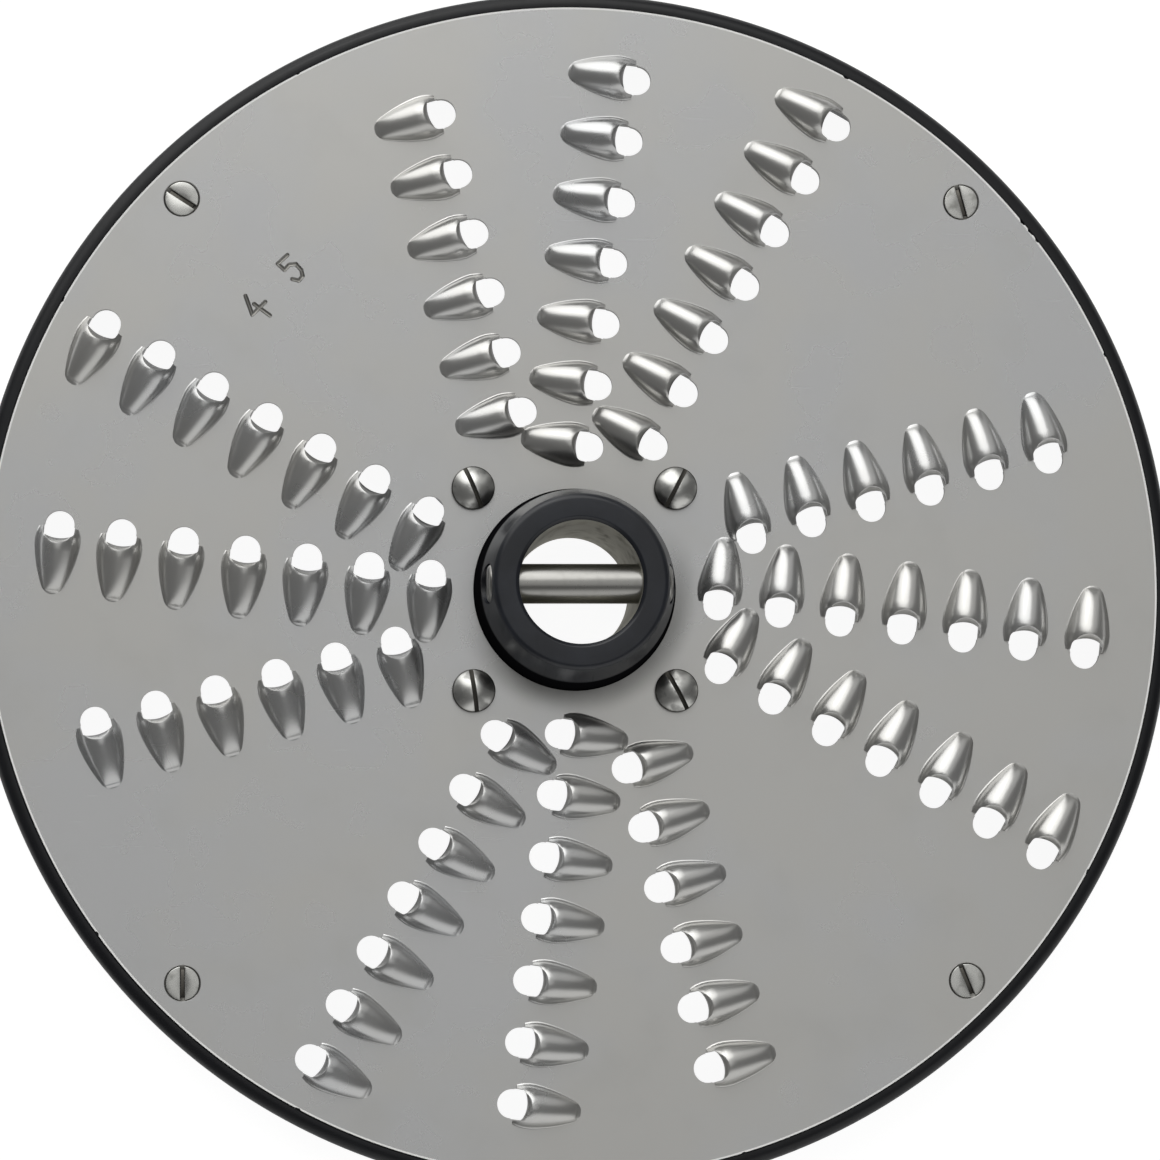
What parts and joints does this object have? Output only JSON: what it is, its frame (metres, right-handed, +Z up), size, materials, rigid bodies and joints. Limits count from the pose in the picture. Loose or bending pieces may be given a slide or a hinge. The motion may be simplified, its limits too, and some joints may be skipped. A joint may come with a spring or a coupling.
{
  "type": "shredding disc",
  "caption": "Round shredding disc for a food preparation machine: a steel sheet of pressed teeth screwed to a moulded carrier whose hub has a shaft bore and a cross pin.",
  "frame": {"origin": "on the bore's axis, in the plane of the rim's bottom face that the disc rests on", "axes": "+Z up along the bore's axis, out of the toothed face; +X along the cross pin"},
  "size_m": [0.185, 0.185, 0.026],
  "materials": {
    "plate_steel": "satin, lightly brushed stainless sheet",
    "carrier_plastic": "black moulded plastic, semi-gloss",
    "bush_metal": "dull drawn metal",
    "pin_steel": "ground bright",
    "screw_steel": "turned, lightly tarnished",
    "insert_brass": "turned"
  },
  "bodies": {
    "root": {"grating_plate": "plate_steel", "carrier": "carrier_plastic", "hub_bush": "bush_metal", "drive_pin": "pin_steel", "rim_screw_1": "screw_steel", "rim_screw_2": "screw_steel", "rim_screw_3": "screw_steel", "rim_screw_4": "screw_steel", "hub_screw_1": "screw_steel", "hub_screw_2": "screw_steel", "hub_screw_3": "screw_steel", "hub_screw_4": "screw_steel", "rim_insert_1": "insert_brass", "rim_insert_2": "insert_brass", "rim_insert_3": "insert_brass", "rim_insert_4": "insert_brass", "hub_insert_1": "insert_brass", "hub_insert_2": "insert_brass", "hub_insert_3": "insert_brass", "hub_insert_4": "insert_brass"}
  },
  "joints": []
}
